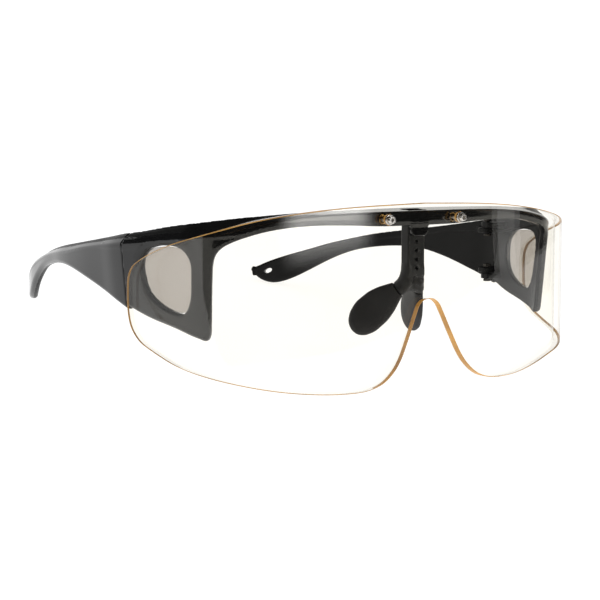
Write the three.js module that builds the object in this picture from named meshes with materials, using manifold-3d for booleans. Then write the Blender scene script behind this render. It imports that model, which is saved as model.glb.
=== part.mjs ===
// Wraparound protective shield eyewear: a thick clear shield screwed to a glossy front frame,
// tinted side windows, two folding temples and a height-adjustable nose bracket.
//
// Units are millimetres, +Z is up. The pieces are drawn as the eyewear is worn: X across the face,
// Y from the front of the shield back towards the ears, Z up from the height of the shield screws.
// The group that holds them is then pitched so that the shield and both temple tips stand on Z = 0.
import * as THREE from "three";
import { mergeVertices } from "three/addons/utils/BufferGeometryUtils.js";
import Module from "manifold-3d";

const wasm = await Module();
wasm.setup();

const rad = THREE.MathUtils.degToRad;

// ---------- driving dimensions ----------

const GAP = 0.3; // clearance between neighbouring pieces
const PITCH = rad(7.28); // from the worn attitude to standing on a table

// Plan of a wraparound surface: a wide arc, a tight corner and a straight leg that leans outwards.
const SHIELD_PLAN = { radius: 280, cornerX: 71.2, corner: 21, lean: rad(12), front: 0 };
const FRAME_PLAN = { radius: 277.1, cornerX: 65, corner: 22, lean: rad(13), front: 2.9 };

const SHIELD_THICK = 2.6;
const SHIELD_END = 113.3; // length of half the shield, measured round its plan
const SHIELD_TOP = [
  [0, 5.25], [30, 4.35], [50, 2.8], [68, 0.2], [86, -4.3], [100, -8.6], [107.5, -11.9], [111.2, -14.4],
  [112.9, -17.4], [SHIELD_END, -21.5],
];
const SHIELD_BOTTOM = [
  [0, -26.7], [2.2, -27.1], [4.1, -28.5], [5.6, -31.1], [9.5, -39], [13.3, -46], [16.4, -49.8], [21, -53.2],
  [27, -55.1], [36, -55.6], [48, -55], [61, -53.2], [77, -49.4], [91, -45.2], [101, -41.5], [108, -38.1],
  [111.6, -34], [113, -29.6], [SHIELD_END, -25.5],
];

// The lower middle of the shield comes forward of the upright, fading out towards its sides.
const SHIELD_BELLY = { slope: 0.085, below: -4, from: 30, to: 72 };

const SCREW_X = 15.8; // shield screws, either side of the middle
const SHIELD_HOLE_R = 1.6;
const SCREW = { headR: 1.25, head: 1.35, shankR: 0.8, length: 7.4, socket: 0.75 };
const WASHER = { inner: 1.1, outer: 1.75, thick: 0.45 };
const INSERT = { inner: 1.1, outer: 1.7, length: 4.6, depth: 0.3 };

// Front frame, against the distance round its plan.
const FRAME_FACE_TOP = [
  [0, 2.3], [20, 2.2], [33, 1.95], [42, 1.55], [52, 0.8], [60, -0.2], [67, -1.6], [76, -3.5], [87, -5.1],
  [96, -6.1], [105, -6.8], [118, -7.8],
];
const FRAME_CREST = [
  [0, 3.3], [22, 3.1], [45, 2.7], [62, 1.8], [72, 1.2], [84, 0.1], [93, -0.9], [100, -1.9], [107, -3.1],
  [118, -4.6],
];
const FRAME_DEPTH = [[0, 9], [22, 8.6], [36, 7], [50, 6], [64, 6], [76, 5.2], [86, 4.4], [118, 4.1]];
// The lower edge runs along the brow bar, down the front of the side panel and back to the hinge.
const FRAME_LOWER_EDGE = [
  [0, -2.4], [16, -2.3], [30, -1.7], [41, -1.5], [51, -1.9], [59, -2.9], [65, -4.2], [70, -5.7], [74, -7.6],
  [76.6, -10], [77.9, -13], [78.7, -18], [79.5, -25], [80.3, -32], [80.9, -35.9], [82.2, -37.5], [85.6, -36.8],
  [95, -34.1], [106, -31.3], [118, -26.9],
];
const PANEL_WALL = 2.9;
const LIP_DROP = 5.6; // how far the inner lip hangs below the crest
const PANEL_LEAN = { slope: 0.095, below: -8 }; // the lower half of each side leans inwards
const BAR_CHAMFER = 0.4;
const PANEL_CHAMFER = 1.3;

// Side window, as [distance round the plan, height].
const WINDOW = [
  [89.6, -8.3], [101.6, -8.3], [106.6, -12], [107.2, -17], [105.6, -22.5], [101.1, -26.4], [94.1, -29],
  [89.8, -28.9], [87.2, -25], [86.2, -19], [86.1, -12],
];
const WINDOW_PANE = { outer: 1.2, inner: 2.6 };
const WINDOW_FLARE = 1.7;

// Temples, against Y.
const TEMPLE_END = 168.7;
const TEMPLE_OUTSIDE_X = [
  [44, 85.2], [51.5, 86.8], [57, 87], [66, 86.3], [78, 85.2], [90, 83.5], [100, 81.5], [111, 78.5],
  [122, 75.4], [134, 71.5], [145, 67.6], [154, 63.6], [162, 59.4], [TEMPLE_END, 55],
];
const TEMPLE_CREST = [
  [44, -2.9], [64, -5.8], [90, -9.4], [114, -12.6], [134, -16.7], [145, -19.8], [155, -22.8], [163, -25.7],
  [167.5, -27.6], [TEMPLE_END, -29.3],
];
const TEMPLE_FACE_TOP = [
  [44, -7], [56, -8.1], [69, -9.4], [82, -10.9], [95, -12.9], [110, -14.4], [134, -18], [155, -24],
  [167.5, -28.7], [TEMPLE_END, -30.4],
];
const TEMPLE_LIP = [
  [44, -8.8], [55, -9.4], [77, -10.3], [95, -12.7], [114, -15], [134, -19.2], [155, -25.5], [167.5, -29.4],
  [TEMPLE_END, -30.7],
];
const TEMPLE_LOWER_EDGE = [
  [44, -31.8], [51.5, -29.3], [58, -26.9], [66, -24.3], [75, -21.6], [86, -18.9], [93, -17.7], [100, -17.2],
  [110, -17.6], [120, -18.9], [127, -20.6], [134, -23.2], [140, -26], [147, -29.6], [153, -32.6], [158, -34.5],
  [162, -35.1], [166, -34.2], [167.8, -33.2], [TEMPLE_END, -31.8],
];
const TEMPLE_DEPTH = [[44, 4.1], [60, 4], [80, 3.6], [100, 3.2], [140, 3.4], [160, 3.2], [TEMPLE_END, 2]];
const TEMPLE_WALL = [[44, 2.9], [100, 2.9], [120, 3.1], [140, 3.4], [160, 3.2], [TEMPLE_END, 2]];
const EYELET = { y: 163.5, z: -30, halfLength: 1.8, r: 0.9 };

// Hinges, about an upright axis: one lug of the frame and one of the temple at each height.
const HINGE = { x: 78.6, y: 51.5, lugR: 2.4, lug: 2, gap: 0.3, boreR: 1.1 };
const PARTING = 0.15; // how far each side stops short of the hinge axis
const UPPER_HINGE = { low: -9.8, reach: 4.9, root: 9, rootReach: 3.2 };
const LOWER_HINGE = { low: -27.2, reach: 4.6, root: 6, rootReach: 3.6 };
const HINGE_SCREW = { headR: 1.45, head: 0.9, shankR: 0.75, length: 5.9, clear: 0.2 };
const HINGE_NUT = { r: 1.6, inner: 1.05, thick: 1.1, clear: 0.2 };

// Nose bracket: a drilled strip that slides in the frame, a web below it and one arm to each pad.
const STRIP = { halfWidth: 3.65, front: 4.5, back: 8.4, top: 2.1, bottom: -19.5 };
const STRIP_HOLES = { r: 0.65, first: -4.8, pitch: 3, count: 5 };
const WEB = { front: 4.7, back: 7.6, slope: 0.22, archTop: -24.6 };
const SLOT = { halfWidth: 4, front: 4.15, back: 8.8 };
const TONGUE = { halfWidth: 3.9, thick: 1.15, bottom: -6, corner: 2.3 };
const ARM = { start: [2.1, 6.4, -17.5], halfWidth: 1.8, halfThick: 1.4, endWidth: 2.8, endThick: 1.5 };
const ARM_TONGUE = { halfWidth: 2, halfThick: 0.55, to: 0.5 };
const PAD_ROOT = new THREE.Vector3(4.4, 9.2, -24);
const PAD_TIP = new THREE.Vector3(13, 23.2, -38.1);
const PAD_WIDTHWISE = new THREE.Vector3(-0.137, -0.82, -0.556);
const PAD_HALF_WIDTH = [[0, 2.9], [0.12, 4.1], [0.26, 5.4], [0.46, 6.4], [0.64, 6.5], [0.82, 5.5], [0.94, 3.4], [1, 1]];
const PAD_HALF_THICK = [[0, 1.6], [0.3, 1.7], [0.7, 1.7], [0.9, 1.4], [1, 0.6]];

const COLOURS = {
  shield: 0xf7f2df,
  frame: 0x0b0b0c,
  window: 0x6f6a64,
  rubber: 0x2f2e30,
  bracket: 0x131314,
  steel: 0xc9c8c4,
  brass: 0xb08d4f,
};

// ---------- maths ----------

// Smooth curve through [x, y] knots that never overshoots them.
function smooth(knots) {
  const slope = [];
  const last = knots.length - 1;
  const rise = (i) => (knots[i + 1][1] - knots[i][1]) / (knots[i + 1][0] - knots[i][0]);
  for (let i = 0; i <= last; i++) {
    if (i === 0) slope.push(rise(0));
    else if (i === last) slope.push(rise(last - 1));
    else {
      const before = rise(i - 1);
      const after = rise(i);
      slope.push(before * after <= 0 ? 0 : (2 * before * after) / (before + after));
    }
  }
  return (x) => {
    let i = 0;
    while (i < last - 1 && x > knots[i + 1][0]) i++;
    const width = knots[i + 1][0] - knots[i][0];
    const t = THREE.MathUtils.clamp((x - knots[i][0]) / width, 0, 1);
    const a = knots[i][1];
    const b = knots[i + 1][1];
    return (
      a * (1 + 2 * t) * (1 - t) ** 2 +
      b * t * t * (3 - 2 * t) +
      width * (slope[i] * t * (1 - t) ** 2 - slope[i + 1] * t * t * (1 - t))
    );
  };
}

// Place on a wraparound plan at a distance along it from the middle, with its outward normal.
function planAt(plan, along) {
  const side = Math.sign(along) || 1;
  const s = Math.abs(along);
  const startAngle = Math.asin(plan.cornerX / plan.radius);
  const endAngle = Math.PI / 2 - plan.lean;
  const cornerAt = plan.radius * startAngle;
  const legAt = cornerAt + plan.corner * (endAngle - startAngle);
  const angle = s < cornerAt ? s / plan.radius : Math.min(startAngle + (s - cornerAt) / plan.corner, endAngle);
  const wide = Math.min(angle, startAngle);
  let x = plan.radius * Math.sin(wide) + plan.corner * (Math.sin(angle) - Math.sin(wide));
  let y = plan.front + plan.radius * (1 - Math.cos(wide)) + plan.corner * (Math.cos(wide) - Math.cos(angle));
  if (s > legAt) {
    x += (s - legAt) * Math.cos(endAngle);
    y += (s - legAt) * Math.sin(endAngle);
  }
  return { x: side * x, y, nx: side * Math.sin(angle), ny: -Math.cos(angle) };
}

// A point a given depth inside the surface of the plan.
function onPlan(plan, along, depth, z) {
  const p = planAt(plan, along);
  return [p.x - p.nx * depth, p.y - p.ny * depth, z];
}

function onShield(along, depth, z) {
  const { slope, below, from, to } = SHIELD_BELLY;
  const share = 1 - THREE.MathUtils.smoothstep(Math.abs(along), from, to);
  const [x, y] = onPlan(SHIELD_PLAN, along, depth, z);
  return [x, y + slope * Math.min(z - below, 0) * share, z];
}

// The inward lean of the lower half of the side panels and of the front of the temples.
function leaned([x, y, z], share) {
  const shift = PANEL_LEAN.slope * Math.max(0, PANEL_LEAN.below - z) * share;
  return [x - Math.sign(x) * shift, y, z];
}

function onFrame(along, depth, z) {
  const share = THREE.MathUtils.clamp((Math.abs(along) - 70) / 8, 0, 1);
  return leaned(onPlan(FRAME_PLAN, along, depth, z), share);
}

const templeX = smooth(TEMPLE_OUTSIDE_X);

function onTemple(y, depth, z) {
  const slope = templeX(y + 0.5) - templeX(y - 0.5);
  const length = Math.hypot(1, slope);
  const share = 1 - THREE.MathUtils.smoothstep(y, 62, 100);
  return leaned([templeX(y) - depth / length, y + (slope * depth) / length, z], share);
}

// ---------- solids ----------

const loose = (geometry) => (geometry.index ? geometry.toNonIndexed() : geometry.clone());

function solidOf(geometry) {
  const bare = loose(geometry);
  bare.deleteAttribute("normal");
  bare.deleteAttribute("uv");
  const merged = mergeVertices(bare, 1e-4);
  return new wasm.Manifold(
    new wasm.Mesh({
      numProp: 3,
      vertProperties: new Float32Array(merged.attributes.position.array),
      triVerts: new Uint32Array(merged.index.array),
    }),
  );
}

function geometryOf(solid) {
  const mesh = solid.getMesh();
  const positions = new Float32Array(mesh.numVert * 3);
  for (let i = 0; i < mesh.numVert; i++) {
    positions.set(mesh.vertProperties.subarray(i * mesh.numProp, i * mesh.numProp + 3), i * 3);
  }
  const geometry = new THREE.BufferGeometry();
  geometry.setAttribute("position", new THREE.BufferAttribute(positions, 3));
  geometry.setIndex(new THREE.BufferAttribute(mesh.triVerts, 1));
  return geometry.toNonIndexed();
}

function cut(geometry, ...tools) {
  return geometryOf(tools.reduce((left, tool) => left.subtract(solidOf(tool)), solidOf(geometry)));
}

function join(geometry, ...more) {
  return geometryOf(more.reduce((sum, piece) => sum.add(solidOf(piece)), solidOf(geometry)));
}

// Solid through a row of closed outlines. Each outline has its flat drawing and its places in space.
function loft(outlines) {
  const count = outlines[0].places.length;
  const positions = [];
  const add = (...points) => points.forEach((p) => positions.push(p.x, p.y, p.z));
  for (let i = 0; i + 1 < outlines.length; i++) {
    const a = outlines[i].places;
    const b = outlines[i + 1].places;
    for (let k = 0; k < count; k++) {
      const n = (k + 1) % count;
      add(a[k], b[k], b[n]);
      add(a[k], b[n], a[n]);
    }
  }
  const caps = [outlines[0], outlines[outlines.length - 1]];
  caps.forEach(({ flat, places }, end) => {
    for (const [i, j, k] of THREE.ShapeUtils.triangulateShape(flat, [])) {
      const turn = THREE.ShapeUtils.isClockWise(flat) === (end === 0);
      if (turn) add(places[i], places[k], places[j]);
      else add(places[i], places[j], places[k]);
    }
  });
  const geometry = new THREE.BufferGeometry();
  geometry.setAttribute("position", new THREE.Float32BufferAttribute(positions, 3));
  return outward(geometry);
}

// Turns a closed surface's faces outwards.
function outward(geometry) {
  const p = geometry.attributes.position;
  const corner = [new THREE.Vector3(), new THREE.Vector3(), new THREE.Vector3()];
  let volume = 0;
  for (let i = 0; i < p.count; i += 3) {
    corner.forEach((v, k) => v.fromBufferAttribute(p, i + k));
    volume += corner[0].dot(corner[1].clone().cross(corner[2]));
  }
  if (volume > 0) return geometry;
  for (let i = 0; i < p.count; i += 3) {
    const a = [p.getX(i), p.getY(i), p.getZ(i)];
    p.setXYZ(i, p.getX(i + 1), p.getY(i + 1), p.getZ(i + 1));
    p.setXYZ(i + 1, ...a);
  }
  return geometry;
}

// Outline of flat [u, v] points, with each point placed in space.
function outline(points, place) {
  return {
    flat: points.map(([u, v]) => new THREE.Vector2(u, v)),
    places: points.map(([u, v]) => new THREE.Vector3(...place(u, v))),
  };
}

// Values from a to b in equal steps no longer than a given one.
function steps(a, b, step) {
  const count = Math.max(1, Math.ceil(Math.abs(b - a) / step));
  return Array.from({ length: count + 1 }, (_, i) => a + ((b - a) * i) / count);
}

const bothSides = (list) => [...list.slice(1).reverse().map((v) => -v), ...list];

function cylinder(r, from, to, sides = 24) {
  const geometry = new THREE.CylinderGeometry(r, r, to - from, sides);
  geometry.rotateX(Math.PI / 2);
  geometry.translate(0, 0, (from + to) / 2);
  return geometry;
}

function box(x0, x1, y0, y1, z0, z1) {
  const geometry = new THREE.BoxGeometry(x1 - x0, y1 - y0, z1 - z0);
  geometry.translate((x0 + x1) / 2, (y0 + y1) / 2, (z0 + z1) / 2);
  return geometry;
}

// Turned part from [radius, height] points, about +Z.
function turned(profile, sides = 24) {
  const geometry = new THREE.LatheGeometry(
    profile.map(([r, h]) => new THREE.Vector2(r, h)),
    sides,
  );
  geometry.rotateX(Math.PI / 2);
  return outward(loose(geometry));
}

// ---------- shield ----------

function shieldGeometry() {
  const top = smooth(SHIELD_TOP);
  const bottom = smooth(SHIELD_BOTTOM);
  const along = bothSides([...steps(0, 26, 1.3), ...steps(28, 104, 3.2), ...steps(105, SHIELD_END, 0.7)]);
  const body = loft(
    along.map((s) => {
      const high = top(Math.abs(s));
      const low = bottom(Math.abs(s));
      const bend = Math.min(SHIELD_BELLY.below, high - 2);
      const front = [[0, low], [0, bend], [0, high]];
      const corners = [...front, ...front.map(([, z]) => [SHIELD_THICK, z]).reverse()];
      return outline(corners, (depth, z) => onShield(s, depth, z));
    }),
  );
  return cut(body, ...[-1, 1].map((side) => alongScrew(cylinder(SHIELD_HOLE_R, -3, 6), side)));
}

// Stands a piece made about +Z on the shield where a screw passes, its +Z pointing out of the shield.
function alongScrew(geometry, side) {
  const p = planAt(SHIELD_PLAN, side * SCREW_X);
  const out = new THREE.Vector3(p.nx, p.ny, 0);
  const up = new THREE.Vector3(0, 0, 1);
  const right = new THREE.Vector3().crossVectors(up, out);
  const place = new THREE.Matrix4().makeBasis(right, up, out);
  place.setPosition(p.x, p.y, 0);
  return geometry.applyMatrix4(place);
}

function shieldScrewGeometry(side) {
  const base = WASHER.thick + GAP;
  const { headR, head, shankR, length, socket } = SCREW;
  const body = turned([
    [0, base - length], [shankR, base - length], [shankR, base], [headR, base],
    [headR, base + head - 0.35], [headR - 0.35, base + head], [0, base + head],
  ]);
  return alongScrew(cut(body, cylinder(socket, base + 0.45, base + head + 1, 6)), side);
}

function washerGeometry(side) {
  const { inner, outer, thick } = WASHER;
  const low = GAP / 2;
  return alongScrew(turned([[inner, low], [outer, low], [outer, low + thick], [inner, low + thick], [inner, low]]), side);
}

function insertGeometry(side) {
  const { inner, outer, length, depth } = INSERT;
  const high = -SHIELD_THICK - GAP - depth;
  const low = high - length;
  return alongScrew(turned([[inner, low], [outer, low], [outer, high], [inner, high], [inner, low]], 20), side);
}

// ---------- front frame ----------

// Section of the brow and side walls: a thin wall whose top slopes inwards over a lip.
function wallSection({ low, faceTop, crest, depth, lip, wall, chamfer }) {
  return [
    [0, low + chamfer], [0, faceTop], [depth - 0.7, crest], [depth, crest - 0.7], [depth, lip],
    [Math.min(wall, depth), lip - 0.3], [Math.min(wall, depth), low], [chamfer, low],
  ];
}

function frameBodyGeometry() {
  const faceTop = smooth(FRAME_FACE_TOP);
  const crest = smooth(FRAME_CREST);
  const depth = smooth(FRAME_DEPTH);
  const edge = new THREE.CatmullRomCurve3(FRAME_LOWER_EDGE.map(([s, z]) => new THREE.Vector3(s, z, 0)), false, "centripetal");
  const half = edge.getPoints(4 * (FRAME_LOWER_EDGE.length - 1)).map(({ x, y }) => [x, y]);
  const lower = [...half.slice(1).reverse().map(([s, z]) => [-s, z]), ...half];
  return loft(
    lower.map(([along, low]) => {
      const s = Math.abs(along);
      const side = THREE.MathUtils.smoothstep(s, 66, 80);
      const section = wallSection({
        low,
        faceTop: faceTop(s),
        crest: crest(s),
        depth: depth(s),
        lip: Math.max(low + 0.9, crest(s) - LIP_DROP),
        wall: PANEL_WALL,
        chamfer: THREE.MathUtils.lerp(BAR_CHAMFER, PANEL_CHAMFER, side),
      });
      return outline(section, (d, z) => onFrame(along, d, z));
    }),
  );
}

// Prism through the side wall, from one depth to another, with its outline grown at the outer end.
function windowPrism(side, from, to, grow, growAtFrom = grow) {
  const centre = new THREE.Vector2(96.2, -17.5);
  const curve = new THREE.CatmullRomCurve3(WINDOW.map(([s, z]) => new THREE.Vector3(s, z, 0)), true, "centripetal");
  const points = curve.getSpacedPoints(40).slice(0, 40);
  const grown = (margin) =>
    points.map(({ x, y }) => {
      const away = new THREE.Vector2(x, y).sub(centre);
      const reach = (away.length() + margin) / away.length();
      return [centre.x + away.x * reach, centre.y + away.y * reach];
    });
  return loft([
    outline(grown(growAtFrom), (s, z) => onFrame(side * s, from, z)),
    outline(grown(grow), (s, z) => onFrame(side * s, to, z)),
  ]);
}

// A lug about the hinge axis, round on its free side and joined to the wall on the other.
function lug(low, towards, { reach, root, rootReach }) {
  const { lugR, lug: thick, x, y } = HINGE;
  const shape = new THREE.Shape();
  shape.absarc(0, 0, lugR, 0, -towards * Math.PI, towards > 0);
  shape.lineTo(-lugR, 2.5 * towards);
  shape.lineTo(rootReach, root * towards);
  shape.lineTo(reach, PARTING * towards);
  const plate = new THREE.ExtrudeGeometry(shape, { depth: thick, bevelEnabled: false, curveSegments: 12 });
  return plate.translate(x, y, low);
}

const hingeBore = () => cylinder(HINGE.boreR, -60, 10).translate(HINGE.x, HINGE.y, 0);
const upperLug = (hinge) => hinge.low + HINGE.lug + HINGE.gap;
const pair = (geometry) => [geometry, outward(loose(geometry).scale(-1, 1, 1))];

// The spring latch under the middle of the brow, which holds the nose bracket at its height.
function latchGeometry() {
  const { halfWidth, thick, bottom, corner } = TONGUE;
  const shape = new THREE.Shape();
  shape.moveTo(-halfWidth - 1.2, -1.6);
  shape.lineTo(-halfWidth - 1.2, -2.5);
  shape.quadraticCurveTo(-halfWidth, -2.5, -halfWidth, -3.3);
  shape.quadraticCurveTo(-halfWidth, bottom, -halfWidth + corner, bottom);
  shape.lineTo(halfWidth - corner, bottom);
  shape.quadraticCurveTo(halfWidth, bottom, halfWidth, -3.3);
  shape.quadraticCurveTo(halfWidth, -2.5, halfWidth + 1.2, -2.5);
  shape.lineTo(halfWidth + 1.2, -1.6);
  const latch = new THREE.ExtrudeGeometry(shape, { depth: thick, bevelEnabled: false, curveSegments: 8 });
  return latch.rotateX(Math.PI / 2).translate(0, FRAME_PLAN.front + thick, 0);
}

function frameGeometry() {
  const beyondParting = box(-120, 120, HINGE.y - PARTING, HINGE.y + 60, -60, 20);
  const trimmed = cut(frameBodyGeometry(), beyondParting);
  const lugs = [lug(upperLug(UPPER_HINGE), -1, UPPER_HINGE), lug(LOWER_HINGE.low, -1, LOWER_HINGE)];
  const solid = join(trimmed, ...lugs.flatMap(pair), latchGeometry());
  const insertBore = () => cylinder(INSERT.outer + 0.25, -8.3, 2);
  return cut(
    solid,
    box(-SLOT.halfWidth, SLOT.halfWidth, SLOT.front, SLOT.back, -12, 12),
    ...[-1, 1].map((side) => alongScrew(insertBore(), side)),
    ...pair(hingeBore()),
    ...[-1, 1].flatMap((side) => [
      windowPrism(side, -3, 7, 0),
      windowPrism(side, WINDOW_PANE.outer, -1.2, WINDOW_FLARE * 2, 0),
    ]),
  );
}

const windowGeometry = (side) => windowPrism(side, WINDOW_PANE.outer + 0.1, WINDOW_PANE.inner, -GAP);

// ---------- temples ----------

function templeGeometry() {
  const crest = smooth(TEMPLE_CREST);
  const faceTop = smooth(TEMPLE_FACE_TOP);
  const lip = smooth(TEMPLE_LIP);
  const low = smooth(TEMPLE_LOWER_EDGE);
  const depth = smooth(TEMPLE_DEPTH);
  const wall = smooth(TEMPLE_WALL);
  const rows = [...steps(44, 128, 4), ...steps(130, 162, 2.5), ...steps(163, 168, 1), TEMPLE_END];
  const body = loft(
    rows.map((y) => {
      const height = crest(y) - low(y);
      const section = wallSection({
        low: low(y),
        faceTop: faceTop(y),
        crest: crest(y),
        depth: depth(y),
        lip: lip(y),
        wall: wall(y),
        chamfer: Math.min(PANEL_CHAMFER, 0.3 * height, 0.4 * depth(y)),
      });
      return outline(section, (d, z) => onTemple(y, d, z));
    }),
  );
  const beforeParting = box(0, 120, 0, HINGE.y + PARTING, -60, 20);
  const lugs = [lug(UPPER_HINGE.low, 1, UPPER_HINGE), lug(upperLug(LOWER_HINGE), 1, LOWER_HINGE)];
  return cut(join(cut(body, beforeParting), ...lugs), hingeBore(), eyeletGeometry());
}

// Oval hole for a retaining cord, right through the end of the temple.
function eyeletGeometry() {
  const { y, z, halfLength, r } = EYELET;
  const hole = cylinder(1, -8, 8).scale(halfLength, r, 1);
  hole.rotateX(Math.PI / 2).rotateZ(Math.PI / 2 - rad(26));
  return hole.translate(templeX(y), y, z);
}

// ---------- hinge hardware ----------

function hingeScrewGeometry({ low }) {
  const { headR, head, shankR, length, clear } = HINGE_SCREW;
  const top = low - clear;
  const body = turned([
    [0, top - head], [headR - 0.3, top - head], [headR, top - head + 0.3], [headR, top], [shankR, top],
    [shankR, top + length], [0, top + length],
  ]);
  const slot = box(-2, 2, -0.22, 0.22, top - head - 1, top - head + 0.4);
  return cut(body, slot).translate(HINGE.x, HINGE.y, 0);
}

function hingeNutGeometry({ low }) {
  const { r, inner, thick, clear } = HINGE_NUT;
  const base = low + 2 * HINGE.lug + HINGE.gap + clear;
  const nut = cut(cylinder(r, base, base + thick, 6), cylinder(inner, base - 1, base + thick + 1));
  return nut.translate(HINGE.x, HINGE.y, 0);
}

// ---------- nose bracket ----------

// Axes of a nose pad: along it, across it and through it.
function padAxes() {
  const along = PAD_TIP.clone().sub(PAD_ROOT);
  const length = along.length();
  along.normalize();
  const across = PAD_WIDTHWISE.clone().addScaledVector(along, -PAD_WIDTHWISE.dot(along)).normalize();
  const through = new THREE.Vector3().crossVectors(along, across);
  return { along, across, through, length };
}

// Soft-cornered slice across an arm or a pad.
function slice(centre, across, through, halfWidth, halfThick) {
  const soften = (v) => Math.sign(v) * Math.abs(v) ** 0.7;
  const points = steps(0, 15, 1).map((i) => {
    const a = (Math.PI * i) / 8;
    return [halfWidth * soften(Math.cos(a)), halfThick * soften(Math.sin(a))];
  });
  return outline(points, (u, v) =>
    centre.clone().addScaledVector(across, u).addScaledVector(through, v).toArray(),
  );
}

// A slice of the pad, or of what lies inside it, a share t of the way from its root to its tip.
function padSlice(t, halfWidth, halfThick) {
  const { along, across, through, length } = padAxes();
  const centre = PAD_ROOT.clone().addScaledVector(along, t * length);
  return slice(centre, across, through, halfWidth, halfThick);
}

function padGeometry() {
  const halfWidth = smooth(PAD_HALF_WIDTH);
  const halfThick = smooth(PAD_HALF_THICK);
  const rows = [...steps(0, 0.7, 0.1), 0.78, 0.85, 0.9, 0.94, 0.97, 0.99, 1];
  const body = loft(rows.map((t) => padSlice(t, halfWidth(t), halfThick(t))));
  const { halfWidth: w, halfThick: h, to } = ARM_TONGUE;
  return cut(body, loft([-0.05, to + 0.02].map((t) => padSlice(t, w + GAP, h + GAP))));
}

// One arm of the bracket, from inside the foot of the strip to the root of the pad.
function armGeometry() {
  const { across, through, along, length } = padAxes();
  const end = PAD_ROOT.clone().addScaledVector(along, -GAP);
  const path = new THREE.QuadraticBezierCurve3(
    new THREE.Vector3(...ARM.start),
    PAD_ROOT.clone().addScaledVector(along, -0.2 * length),
    end,
  );
  const blend = (from, to, t) => from.clone().lerp(to, t).normalize();
  return loft(
    steps(0, 1, 0.2).map((t) => {
      const u = blend(new THREE.Vector3(0, -1, 0), across, t);
      const v = blend(new THREE.Vector3(-1, 0, 0), through, t);
      const halfWidth = THREE.MathUtils.lerp(ARM.halfWidth, ARM.endWidth, t);
      const halfThick = THREE.MathUtils.lerp(ARM.halfThick, ARM.endThick, t);
      return slice(path.getPoint(t), u, v, halfWidth, halfThick);
    }),
  );
}

// The web between the arms, with an arch under it that clears the bridge of the nose.
function webGeometry() {
  const shape = new THREE.Shape();
  const { archTop, front, back, slope } = WEB;
  shape.moveTo(-3.5, -17);
  shape.lineTo(-3.9, -20.5);
  shape.lineTo(-5, -25.2);
  shape.quadraticCurveTo(-2.8, archTop, 0, archTop);
  shape.quadraticCurveTo(2.8, archTop, 5, -25.2);
  shape.lineTo(3.9, -20.5);
  shape.lineTo(3.5, -17);
  const web = new THREE.ExtrudeGeometry(shape, { depth: back - front, bevelEnabled: false, curveSegments: 6 });
  web.rotateX(Math.PI / 2).translate(0, back, 0);
  const shear = new THREE.Matrix4().set(1, 0, 0, 0, 0, 1, -slope, -17 * slope, 0, 0, 1, 0, 0, 0, 0, 1);
  return web.applyMatrix4(shear);
}

function bracketGeometry() {
  const { halfWidth, front, back, top, bottom } = STRIP;
  const body = join(
    box(-halfWidth, halfWidth, front, back, bottom, top),
    webGeometry(),
    ...pair(armGeometry()),
  );
  const holes = steps(0, STRIP_HOLES.count - 1, 1).map((i) => {
    const drill = cylinder(STRIP_HOLES.r, -12, 0, 16).rotateX(Math.PI / 2);
    return drill.translate(0, 0, STRIP_HOLES.first - i * STRIP_HOLES.pitch);
  });
  const beyondRoot = loft([-GAP / padAxes().length, 1.1].map((t) => padSlice(t, 7, 4)));
  const tongue = loft(
    [-0.05, ARM_TONGUE.to].map((t) => padSlice(t, ARM_TONGUE.halfWidth, ARM_TONGUE.halfThick)),
  );
  return join(cut(body, ...holes, ...pair(beyondRoot)), ...pair(tongue));
}

// ---------- assembly ----------

const worn = new THREE.Group();
worn.name = "as_worn";
worn.rotation.x = -PITCH;

function place(name, geometry, colour, roughness, metalness = 0) {
  const material = new THREE.MeshStandardMaterial({ color: COLOURS[colour], roughness, metalness });
  if (colour === "shield") Object.assign(material, { transparent: true, opacity: 0.25 });
  geometry.computeVertexNormals();
  const mesh = new THREE.Mesh(geometry, material);
  mesh.name = name;
  worn.add(mesh);
}

function placePair(name, geometry, ...look) {
  const [right, left] = pair(geometry);
  place(`${name}_right`, right, ...look);
  place(`${name}_left`, left, ...look);
}

place("shield", shieldGeometry(), "shield", 0.05);
place("front_frame", frameGeometry(), "frame", 0.18);
placePair("side_window", windowGeometry(1), "window", 0.1);
placePair("temple", templeGeometry(), "frame", 0.18);
placePair("shield_screw", shieldScrewGeometry(1), "steel", 0.25, 1);
placePair("shield_washer", washerGeometry(1), "steel", 0.3, 1);
placePair("threaded_insert", insertGeometry(1), "brass", 0.35, 1);
placePair("hinge_screw_upper", hingeScrewGeometry(UPPER_HINGE), "steel", 0.3, 1);
placePair("hinge_screw_lower", hingeScrewGeometry(LOWER_HINGE), "steel", 0.3, 1);
placePair("hinge_nut_upper", hingeNutGeometry(UPPER_HINGE), "brass", 0.35, 1);
placePair("hinge_nut_lower", hingeNutGeometry(LOWER_HINGE), "brass", 0.35, 1);
place("nose_bracket", bracketGeometry(), "bracket", 0.3);
placePair("nose_pad", padGeometry(), "rubber", 0.75);

const loupes = new THREE.Group();
loupes.name = "dental_loupe_eyewear";
loupes.add(worn);
loupes.updateMatrixWorld(true);
const bounds = new THREE.Box3().setFromObject(loupes, true);
const middle = bounds.getCenter(new THREE.Vector3());
worn.position.set(-middle.x, -middle.y, -bounds.min.z);

export default loupes;
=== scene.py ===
"""Looks of the wraparound shield eyewear: every CAD node is replaced by a finer, round-edged piece.

Each piece but the shield is a signed distance field, in millimetres, drawn as the eyewear is worn: X across
the face,
Y from the front of the shield back to the ears, Z up from the shield screws. A surface net turns the
field into a mesh, which is then pitched on to the table, in metres, where the CAD stands.
"""

import math

import bpy
import numpy as np
from mathutils import Matrix, Vector
from mathutils.geometry import delaunay_2d_cdt


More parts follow.
